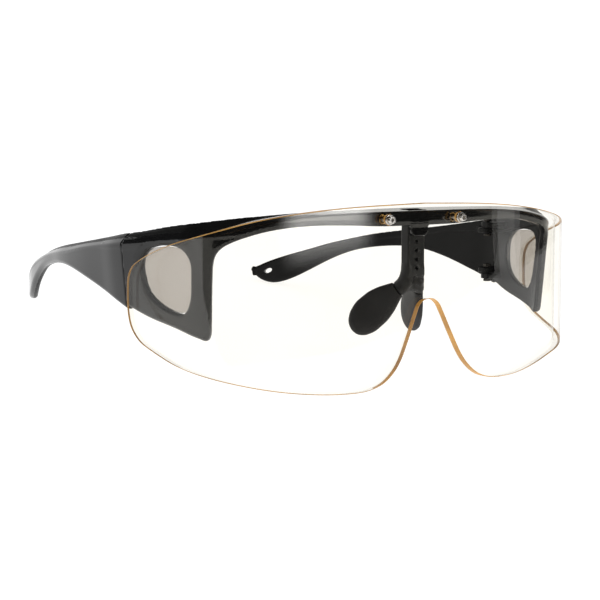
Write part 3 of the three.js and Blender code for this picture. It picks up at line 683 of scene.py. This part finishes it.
def temple_field(x, y, z):
    """A temple with its capped top, drooping tip, eyelet and hinge lugs."""
    at, d = temple_coords(x, y, z)
    face, crest, depth = temple_face(at), temple_crest(at), temple_depth(at)
    outline = TEMPLE_SIDE(at, z)
    tip = step_between(at, TIP_FROM, TIP_TO)
    skin = rmax(-d, roof_field(z, d, face, crest, depth), blend(SKIN_ROUND, 1.2, tip))
    wall = rmax(rmax(skin, outline, TEMPLE_EDGE_ROUND), d - temple_wall(at), blend(LIP_ROUND, 1.4, tip))
    cap = rmax(rmax(skin, d - depth, blend(CAP_ROUND, 1.3, tip)), temple_lip(at) - z, 0.5)
    body = rmin(wall, np.maximum(cap, outline), 0.5)
    body = rmax(body, HINGE_Y + PARTING - y, PART_ROUND)
    for low, root in ((UPPER_LOW, UPPER_ROOT), (LOWER_LOW + LUG + GAP, LOWER_ROOT)):
        body = rmin(body, lug_field(x, y, z, low, 1, root, d), EDGE_ROUND)
    body = np.maximum(body, -bore_field(x, y))
    return rmax(body, -eyelet_field(at, z), 0.25)


def pane_field(x, y, z):
    """A tinted pane that fills a side window but for a small gap."""
    s, d = panel_coords(x, y, z)
    middle = (PANE_OUTER + PANE_INNER) / 2
    sheet = np.abs(d - middle) - (PANE_INNER - PANE_OUTER) / 2
    return rmax(sheet, WINDOW_SIDE(s, z) + GAP, FINE_ROUND)


PAD_LENGTH = float(np.linalg.norm(PAD_TIP - PAD_ROOT))
PAD_ALONG = (PAD_TIP - PAD_ROOT) / PAD_LENGTH
PAD_SIDEWAYS = PAD_ACROSS - PAD_ALONG * (PAD_ACROSS @ PAD_ALONG)
PAD_SIDEWAYS = PAD_SIDEWAYS / np.linalg.norm(PAD_SIDEWAYS)
PAD_THROUGH = np.cross(PAD_ALONG, PAD_SIDEWAYS)


def in_axes(x, y, z, centre):
    """Offsets from a centre along, across and through a nose pad."""
    p = (x - centre[0], y - centre[1], z - centre[2])
    return [sum(c * a[i] for i, c in enumerate(p)) for a in (PAD_ALONG, PAD_SIDEWAYS, PAD_THROUGH)]


def oval(u, v, half_u, half_v, power=2.6):
    """Rough distance to a soft-cornered oval."""
    r = (np.abs(u / half_u) ** power + np.abs(v / half_v) ** power) ** (1 / power)
    return (r - 1) * np.minimum(half_u, half_v)


def pad_field(x, y, z):
    """A soft pad, dished towards the nose, with a pocket for the bracket's tongue."""
    w, u, v = in_axes(x, y, z, PAD_ROOT)
    t = np.clip(w / PAD_LENGTH, 0, 1)
    dish = PAD_DISH * (1 - (u / PAD_DISH_WIDTH) ** 2) * step_between(t, 0.1, 0.5)
    body = oval(u, v - dish, pad_width(t), pad_thick(t))
    body = rmax(rmax(body, w - PAD_LENGTH, 0.8), -w, EDGE_ROUND)
    pocket = oval(u, v, PAD_POCKET["half_width"], PAD_POCKET["half_thick"])
    return np.maximum(body, -rmax(pocket, w - PAD_POCKET["share"] * PAD_LENGTH, FINE_ROUND))


def arm_field(x, y, z):
    """Arms of the nose bracket, from the foot of the strip to the pad roots."""
    path = ARM_PATH + [PAD_ROOT - PAD_ALONG * GAP]
    body = None
    for i in range(2):
        a, b = path[i], path[i + 1]
        e = b - a
        t = np.clip(((x - a[0]) * e[0] + (y - a[1]) * e[1] + (z - a[2]) * e[2]) / (e @ e), 0, 1)
        w, u, v = in_axes(x, y, z, [a[k] + t * e[k] for k in range(3)])
        half_u = blend(ARM_HALF_WIDTHS[i], ARM_HALF_WIDTHS[i + 1], t)
        half_v = blend(ARM_HALF_THICKS[i], ARM_HALF_THICKS[i + 1], t)
        bit = (np.sqrt((u / half_u) ** 2 + (v / half_v) ** 2 + (w / half_v) ** 2) - 1) * half_v
        body = bit if body is None else rmin(body, bit, 1.2)
    return body


def web_field(x, y, z):
    """The arched foot of the strip, leaning back between the arms."""
    drop = np.maximum(0, WEB["below"] - z)
    thick = np.abs(y - WEB["slope"] * drop - WEB["y"]) - WEB["half_depth"]
    web = rmax(x - (WEB["half_width"] + WEB["flare"] * drop), thick, 0.7)
    web = rmax(web, np.maximum(z - WEB["top"], WEB["bottom"] - z), 1.6)
    arch = np.hypot(x, z - ARCH["top"] + ARCH["r"]) - ARCH["r"]
    return rmax(web, -arch, 0.9)


def bracket_field(x, y, z):
    """The sliding nose bracket: strip with holes, arched foot, arms and pad tongues."""
    ax = np.abs(x)
    flat = np.abs(y - STRIP["y"]) - STRIP["half_depth"]
    strip = rmax(ax - STRIP["half_width"], flat, 0.5)
    strip = rmax(strip, np.maximum(z - STRIP["top"], STRIP["bottom"] - z), EDGE_ROUND)
    body = rmin(rmin(strip, web_field(ax, y, z), 0.8), arm_field(ax, y, z), 1.4)
    w, u, v = in_axes(ax, y, z, PAD_ROOT)
    body = rmax(body, w + GAP, 0.25)
    ends = np.abs(w - PAD_TONGUE["middle"] * PAD_LENGTH) - PAD_TONGUE["half_share"] * PAD_LENGTH
    tongue = oval(u, v, PAD_TONGUE["half_width"], PAD_TONGUE["half_thick"])
    body = np.minimum(body, rmax(tongue, ends, FINE_ROUND))
    for i in range(STRIP_HOLES["count"]):
        hole = np.hypot(x, z - STRIP_HOLES["first"] + STRIP_HOLES["pitch"] * i)
        body = rmax(body, STRIP_HOLES["r"] - hole, 0.12)
    return body


def screw_axes(x, y, z):
    """Height above the shield along a screw, and the two offsets across it."""
    px, py, nx, ny = plan_point(SHIELD_PLAN, SCREW_S)
    return (x - px) * nx + (y - py) * ny, (x - px) * -ny + (y - py) * nx, z


def hexagon(u, v, across):
    """Distance to a hexagon, from half the width across its flats."""
    return np.maximum(np.abs(u), np.abs(u) * 0.5 + np.abs(v) * 0.866) - across


def screw_field(x, y, z):
    """A socket-head screw through the shield."""
    h, u, v = screw_axes(x, y, z)
    r = np.hypot(u, v)
    base = SHIELD_SCREW["base"]
    head = np.maximum(h - base - SHIELD_SCREW["head"], base - h)
    head = rmax(r - SHIELD_SCREW["head_r"], head, 0.22)
    shank = np.maximum(h - base, base - SHIELD_SCREW["length"] - h)
    shank = rmax(r - SHIELD_SCREW["shank_r"], shank, 0.15)
    thread = THREAD["height"] * np.sin(h * 2 * math.pi / THREAD["pitch"])
    body = np.minimum(head, shank + np.where(h < 0, np.abs(thread), 0))
    socket = np.maximum(hexagon(u, v, SHIELD_SCREW["socket"]), base + SHIELD_SCREW["floor"] - h)
    return rmax(body, -socket, 0.06)


def washer_field(x, y, z):
    """A flat washer between the screw head and the shield."""
    h, u, v = screw_axes(x, y, z)
    r = np.hypot(u, v)
    ring = np.maximum(r - WASHER["outer"], WASHER["inner"] - r)
    return rmax(ring, np.abs(h - WASHER["middle"]) - WASHER["half_thick"], 0.1)


def insert_field(x, y, z):
    """A threaded insert with two knurled bands."""
    h, u, v = screw_axes(x, y, z)
    r = np.hypot(u, v)
    from_middle = np.abs(h + INSERT["middle"])
    banded = np.abs(from_middle - KNURL["middle"]) < KNURL["half_length"]
    knurl = KNURL["height"] * np.cos(KNURL["teeth"] * np.arctan2(v, u)) * banded
    ring = np.maximum(r - INSERT["outer"] + knurl, INSERT["inner"] - r)
    return rmax(ring, from_middle - INSERT["half_length"], 0.12)


def hinge_screw_field(low):
    """A hinge pin that enters from below, with its slotted head under the lug."""
    top = low - HINGE_SCREW["clear"]
    half = HINGE_SCREW["head"] / 2

    def field(x, y, z):
        r = np.hypot(x - HINGE_X, y - HINGE_Y)
        head = rmax(r - HINGE_SCREW["head_r"], np.abs(z - top + half) - half, 0.25)
        shank = np.maximum(z - top - HINGE_SCREW["length"], top - 0.1 - z)
        shank = rmax(r - HINGE_SCREW["shank_r"], shank, 0.12)
        slot_floor = z - (top - HINGE_SCREW["head"]) - HINGE_SCREW["slot"]
        slot = np.maximum(np.abs(y - HINGE_Y) - HINGE_SCREW["slot_half"], slot_floor)
        return rmax(np.minimum(head, shank), -slot, 0.05)

    return field


def hinge_nut_field(low):
    """A hexagon nut on top of the two lugs."""
    middle = low + 2 * LUG + GAP + HINGE_NUT["clear"] + HINGE_NUT["half_thick"]

    def field(x, y, z):
        u, v = x - HINGE_X, y - HINGE_Y
        r = np.hypot(u, v)
        flat = np.abs(z - middle) - HINGE_NUT["half_thick"]
        body = rmax(hexagon(u, v, HINGE_NUT["half_across"]), flat, 0.1)
        return rmax(np.maximum(body, r - HINGE_NUT["corner_r"]), HINGE_NUT["bore"] - r, 0.08)

    return field


# ---------- materials ----------


def node_material(name):
    """An empty node material, its nodes and its links."""
    material = bpy.data.materials.new(name)
    material.use_nodes = True
    tree = material.node_tree
    tree.nodes.clear()
    return material, tree.nodes, tree.links


def noise(nodes, links, scale, detail):
    """Noise in the object's own space."""
    where = nodes.new("ShaderNodeTexCoord")
    texture = nodes.new("ShaderNodeTexNoise")
    texture.inputs["Scale"].default_value = scale
    texture.inputs["Detail"].default_value = detail
    links.new(where.outputs["Object"], texture.inputs["Vector"])
    return texture


def ramp(nodes, links, source, low, high):
    """Maps a texture's 0 to 1 on to a range of values."""
    node = nodes.new("ShaderNodeMapRange")
    node.inputs["From Min"].default_value = 0.3
    node.inputs["From Max"].default_value = 0.7
    node.inputs["To Min"].default_value = low
    node.inputs["To Max"].default_value = high
    links.new(source.outputs["Fac"], node.inputs["Value"])
    return node


def tint(nodes, links, source, dark, light):
    node = nodes.new("ShaderNodeValToRGB")
    node.color_ramp.elements[0].position = 0.3
    node.color_ramp.elements[1].position = 0.7
    node.color_ramp.elements[0].color = (*dark, 1)
    node.color_ramp.elements[1].color = (*light, 1)
    links.new(source.outputs["Fac"], node.inputs["Fac"])
    return node


def solid_material(name, dark, light, rough, bump, scale=900, metal=0.0, glow=None, shine=0.5):
    """An opaque material whose colour, roughness and surface vary finely, with a painted glow where glow is
    given.
    """
    material, nodes, links = node_material(name)
    shader = nodes.new("ShaderNodeBsdfPrincipled")
    output = nodes.new("ShaderNodeOutputMaterial")
    broad = noise(nodes, links, 60, 3)
    fine = noise(nodes, links, scale, 4)
    links.new(tint(nodes, links, broad, dark, light).outputs["Color"], shader.inputs["Base Color"])
    links.new(ramp(nodes, links, broad, *rough).outputs["Result"], shader.inputs["Roughness"])
    dent = nodes.new("ShaderNodeBump")
    dent.inputs["Strength"].default_value = bump
    dent.inputs["Distance"].default_value = 0.00005
    links.new(fine.outputs["Fac"], dent.inputs["Height"])
    links.new(dent.outputs["Normal"], shader.inputs["Normal"])
    shader.inputs["Metallic"].default_value = metal
    shader.inputs["Specular IOR Level"].default_value = shine
    # painted glow: the part gives off light though it is no lamp
    if glow:
        shader.inputs["Emission Color"].default_value = (*glow, 1)
        shader.inputs["Emission Strength"].default_value = 1.0
    links.new(shader.outputs["BSDF"], output.inputs["Surface"])
    return material


def clear_material(name, thin, thick, rough, scale=40):
    """A clear sheet: tinted light goes straight through and the surface mirrors a little."""
    material, nodes, links = node_material(name)
    through = nodes.new("ShaderNodeBsdfTransparent")
    mirror = nodes.new("ShaderNodeBsdfGlossy")
    facing = nodes.new("ShaderNodeLayerWeight")
    facing.inputs["Blend"].default_value = 0.5
    steep = nodes.new("ShaderNodeMath")
    steep.operation = "POWER"
    steep.inputs[1].default_value = 5
    share = nodes.new("ShaderNodeMath")
    share.operation = "MULTIPLY_ADD"
    share.inputs[1].default_value = 0.9
    share.inputs[2].default_value = 0.032
    mix = nodes.new("ShaderNodeMixShader")
    output = nodes.new("ShaderNodeOutputMaterial")
    cloud = noise(nodes, links, scale, 2)
    links.new(tint(nodes, links, cloud, thin, thick).outputs["Color"], through.inputs["Color"])
    links.new(ramp(nodes, links, cloud, *rough).outputs["Result"], mirror.inputs["Roughness"])
    ripple = nodes.new("ShaderNodeBump")
    ripple.inputs["Strength"].default_value = 0.02
    ripple.inputs["Distance"].default_value = 0.0002
    links.new(cloud.outputs["Fac"], ripple.inputs["Height"])
    links.new(ripple.outputs["Normal"], mirror.inputs["Normal"])
    links.new(facing.outputs["Facing"], steep.inputs[0])
    links.new(steep.outputs["Value"], share.inputs[0])
    links.new(share.outputs["Value"], mix.inputs["Fac"])
    links.new(through.outputs["BSDF"], mix.inputs[1])
    links.new(mirror.outputs["BSDF"], mix.inputs[2])
    links.new(mix.outputs["Shader"], output.inputs["Surface"])
    return material


SHIELD_CLEAR = clear_material("shield_clear", (0.988, 0.979, 0.95), (0.994, 0.987, 0.964), (0.01, 0.03))
# darker, warmer see-through tint on the rim: painted shade for the dark streaks along the shield's ends
SHIELD_RIM_PAINTED_SHADE = clear_material("shield_rim_painted_shade", (0.92, 0.90, 0.86), (0.96, 0.94, 0.90), (0.05, 0.15), scale=300)
# amber notch and edge rims: the warm tint is the plastic's own, seen along the sheet; the emitted glow is
# painted light carried inside the clear sheet
SHIELD_NOTCH_PAINTED_GLOW = solid_material(
    "shield_amber_notch_painted_glow", (0.24, 0.10, 0.015), (0.78, 0.42, 0.10), (0.2, 0.4), 0.3,
    scale=500, glow=(0.09, 0.04, 0.007),
)
SHIELD_EDGE_PAINTED_GLOW = solid_material(
    "shield_amber_edge_painted_glow", (0.34, 0.18, 0.045), (0.80, 0.46, 0.13), (0.2, 0.4), 0.3,
    scale=500, glow=(0.05, 0.024, 0.005),
)
WINDOW_TINT = clear_material("window_grey", (0.625, 0.60, 0.575), (0.655, 0.63, 0.605), (0.03, 0.06))
GLOSS_BLACK = solid_material(
    "frame_gloss_black", (0.004, 0.004, 0.0043), (0.007, 0.007, 0.0075), (0.08, 0.15), 0.006, scale=250
)
SATIN_BLACK = solid_material(
    "inner_satin_black", (0.004, 0.004, 0.004), (0.007, 0.007, 0.007), (0.3, 0.42), 0.03, 400, shine=0.12
)
BRACKET_BLACK = solid_material(
    "bracket_black", (0.008, 0.008, 0.008), (0.013, 0.013, 0.013), (0.28, 0.4), 0.1, shine=0.3
)
PAD_RUBBER = solid_material(
    "pad_silicone", (0.012, 0.0115, 0.012), (0.02, 0.019, 0.0195), (0.42, 0.56), 0.25, shine=0.3
)
STEEL = solid_material("screw_steel", (0.56, 0.53, 0.49), (0.72, 0.69, 0.65), (0.12, 0.24), 0.3, 1500, 1.0)
# hinge screws and nuts, near-black metal: painted shade for the dark hinge they sit in
HINGE_PAINTED_SHADE = solid_material(
    "hinge_metal_painted_shade", (0.03, 0.028, 0.025), (0.06, 0.055, 0.05), (0.3, 0.45), 0.3, 1500, 1.0
)
BRASS = solid_material("turned_brass", (0.30, 0.18, 0.06), (0.45, 0.28, 0.10), (0.2, 0.35), 0.3, 1500, 1.0)

# ---------- the pieces ----------

SHIELD_COATS = [SHIELD_CLEAR, SHIELD_NOTCH_PAINTED_GLOW, SHIELD_EDGE_PAINTED_GLOW, SHIELD_RIM_PAINTED_SHADE]
shield, coats = shield_mesh()
make_piece("shield_look", shield, SHIELD_COATS, "frame", ["shield"], paint=coats)
front = surface_net(frame_field, (-89, 0, -40), (89, 53, 5), 0.5)
BLACKS = [GLOSS_BLACK, SATIN_BLACK]
make_piece(
    "front_frame_look",
    front,
    BLACKS,
    "frame",
    ["front_frame"],
    paint=inner_faces(front, frame_depth),
)
make_piece(
    "nose_bracket_look",
    surface_net(bracket_field, (-16, 3, -36), (16, 23, 4), 0.28),
    [BRACKET_BLACK],
    "nose_piece",
    ["nose_bracket"],
)
temple = surface_net(temple_field, (50, 47, -37), (90, 171, -2), 0.45)
temple_paint = inner_faces(temple, temple_depth_at)
make_pair("temple", temple, BLACKS, "temple_{}", paint=temple_paint)
pane = surface_net(pane_field, (70, 20, -33), (90, 50, -5), 0.35)
make_pair("side_window", pane, [WINDOW_TINT], "frame")
pad = surface_net(pad_field, (0, 0, -44), (22, 32, -17), 0.28)
make_pair("nose_pad", pad, [PAD_RUBBER], "nose_piece")
screw = surface_net(screw_field, (12, -3, -2), (19, 8.5, 2), 0.07)
make_pair("shield_screw", screw, [STEEL], "frame")
washer = surface_net(washer_field, (13, -1, -2.2), (19, 2, 2.2), 0.08)
make_pair("shield_washer", washer, [STEEL], "frame")
insert = surface_net(insert_field, (12, 2, -2.2), (19, 10, 2.2), 0.1)
make_pair("threaded_insert", insert, [BRASS], "frame")
for which, low in (("upper", UPPER_LOW), ("lower", LOWER_LOW)):
    x0, y0, x1, y1 = HINGE_X - 2, HINGE_Y - 2, HINGE_X + 2, HINGE_Y + 2
    pin = surface_net(hinge_screw_field(low), (x0, y0, low - 1.6), (x1, y1, low + 6.4), 0.09)
    nut = surface_net(hinge_nut_field(low), (x0, y0, low + 4), (x1, y1, low + 6.2), 0.08)
    make_pair(f"hinge_screw_{which}", pin, [HINGE_PAINTED_SHADE], "frame")
    make_pair(f"hinge_nut_{which}", nut, [HINGE_PAINTED_SHADE], "frame")

# ---------- studio, in metres ----------

TABLE_DROP, TABLE_SIZE, TABLE_GLOW = -0.0003, 400, 0.97
WORLD_LIGHT = 1.08
# black cards that the camera can't see, and that the glossy black pieces and the shield mirror
FLAGS = [
    ("overhead_flag", (0, 0.1, 0.75), (3.4, 3.0), (0, 0, -1)),
    ("front_flag", (0.2, -1.5, 0.55), (4.4, 1.1), (0, 1, 0)),
    ("right_flag", (1.5, -0.2, 0.55), (1.1, 2.6), (-1, 0, 0)),
]
SOFTBOX, SOFTBOX_GLOW, SOFTBOX_FOOT = (0.34, 0.6), 5.5, 0.04
SOFTBOX_AT, SOFTBOX_FACING = (0.318, -0.912, 0.375), (-0.376, 0.927, 0)


def flat_card(name, centre, size, facing, material, seen=True):
    """A rectangular sheet of the studio, not part of the eyewear."""
    w, h = size[0] / 2, size[1] / 2
    data = bpy.data.meshes.new(name)
    data.from_pydata([(-w, -h, 0), (w, -h, 0), (w, h, 0), (-w, h, 0)], [], [(0, 1, 2, 3)])
    data.materials.append(material)
    card = bpy.data.objects.new(name, data)
    turn = Vector(facing).to_track_quat("Z", "Y").to_matrix().to_4x4()
    card.matrix_world = Matrix.Translation(centre) @ turn
    bpy.context.scene.collection.objects.link(card)
    card.visible_camera = seen
    return card


def area_light(name, centre, target, size, power, glossy=True):
    data = bpy.data.lights.new(name, "AREA")
    data.shape = "RECTANGLE"
    data.size, data.size_y = size
    data.energy = power
    lamp = bpy.data.objects.new(name, data)
    lamp.location = centre
    lamp.rotation_euler = (Vector(target) - Vector(centre)).to_track_quat("-Z", "Y").to_euler()
    lamp.visible_glossy = glossy
    bpy.context.scene.collection.objects.link(lamp)


def floor_material():
    """A pale, evenly lit table that still takes a faint shadow."""
    material, nodes, links = node_material("pale_table")
    glow = nodes.new("ShaderNodeEmission")
    glow.inputs["Strength"].default_value = TABLE_GLOW
    matt = nodes.new("ShaderNodeBsdfDiffuse")
    cloud = noise(nodes, links, 8, 2)
    pale = tint(nodes, links, cloud, (0.29, 0.29, 0.29), (0.31, 0.31, 0.31))
    links.new(pale.outputs["Color"], matt.inputs["Color"])
    both = nodes.new("ShaderNodeAddShader")
    output = nodes.new("ShaderNodeOutputMaterial")
    links.new(glow.outputs["Emission"], both.inputs[0])
    links.new(matt.outputs["BSDF"], both.inputs[1])
    links.new(both.outputs["Shader"], output.inputs["Surface"])
    return material


def softbox_material():
    """A tall strip of light that fades out towards its sides and its foot."""
    material, nodes, links = node_material("softbox_glow")
    where = nodes.new("ShaderNodeTexCoord")
    split = nodes.new("ShaderNodeSeparateXYZ")
    aside = nodes.new("ShaderNodeMath")
    aside.operation = "ABSOLUTE"
    across = fade(nodes, SOFTBOX[0] / 2, SOFTBOX[0] / 4, SOFTBOX_GLOW)
    foot = fade(nodes, -SOFTBOX[1] / 2, -SOFTBOX[1] / 2 + SOFTBOX_FOOT, 1)
    both = nodes.new("ShaderNodeMath")
    both.operation = "MULTIPLY"
    glow = nodes.new("ShaderNodeEmission")
    output = nodes.new("ShaderNodeOutputMaterial")
    links.new(where.outputs["Object"], split.inputs["Vector"])
    links.new(split.outputs["X"], aside.inputs[0])
    links.new(aside.outputs["Value"], across.inputs["Value"])
    links.new(split.outputs["Y"], foot.inputs["Value"])
    links.new(across.outputs["Result"], both.inputs[0])
    links.new(foot.outputs["Result"], both.inputs[1])
    links.new(both.outputs["Value"], glow.inputs["Strength"])
    links.new(glow.outputs["Emission"], output.inputs["Surface"])
    return material


def fade(nodes, dark_at, bright_at, bright):
    """A smooth rise from nothing at one value to bright at another."""
    node = nodes.new("ShaderNodeMapRange")
    node.interpolation_type = "SMOOTHSTEP"
    node.inputs["From Min"].default_value = dark_at
    node.inputs["From Max"].default_value = bright_at
    node.inputs["To Min"].default_value = 0
    node.inputs["To Max"].default_value = bright
    return node


BLACK_CARD = solid_material("black_flag", (0.004, 0.004, 0.004), (0.006, 0.006, 0.006), (0.8, 0.9), 0.0)
flat_card("table", (0, 0, TABLE_DROP), (TABLE_SIZE, TABLE_SIZE), (0, 0, 1), floor_material())
for flag, centre, size, facing in FLAGS:
    flat_card(flag, centre, size, facing, BLACK_CARD, seen=False)

world = bpy.data.worlds.new("studio")
bpy.context.scene.world = world
world.use_nodes = True
world.node_tree.nodes["Background"].inputs["Color"].default_value = (1, 1, 1, 1)
world.node_tree.nodes["Background"].inputs["Strength"].default_value = WORLD_LIGHT

flat_card("strip_softbox", SOFTBOX_AT, SOFTBOX, SOFTBOX_FACING, softbox_material(), seen=False)
area_light("overhead_fill", (0, 0, 0.7), (0, 0, 0), (1.2, 1.2), 4.0, glossy=False)

# ---------- camera ----------

AZIMUTH, ELEVATION = math.radians(38), math.radians(5.44)
EYE = np.array([[-382.8, -422.0, 26.9]])
LENS = 102.66
sin_a, cos_a = math.sin(AZIMUTH), math.cos(AZIMUTH)
sin_e, cos_e = math.sin(ELEVATION), math.cos(ELEVATION)
ahead = (sin_a * cos_e, cos_a * cos_e, -sin_e)
right = (cos_a, -sin_a, 0)
up = (sin_a * sin_e, cos_a * sin_e, cos_e)
tip = Matrix.Rotation(-PITCH, 3, "X")
columns = [tip @ Vector(right), tip @ Vector(up), -(tip @ Vector(ahead))]
camera = bpy.data.objects.new("camera", bpy.data.cameras.new("camera"))
rotation = Matrix([[c[i] for c in columns] for i in range(3)]).to_4x4()
camera.matrix_world = Matrix.Translation(Vector(to_table(EYE)[0])) @ rotation
camera.data.sensor_width = 36
camera.data.lens = LENS
camera.data.clip_start = 0.01
bpy.context.scene.collection.objects.link(camera)
bpy.context.scene.camera = camera
bpy.context.scene.view_settings.view_transform = "Standard"
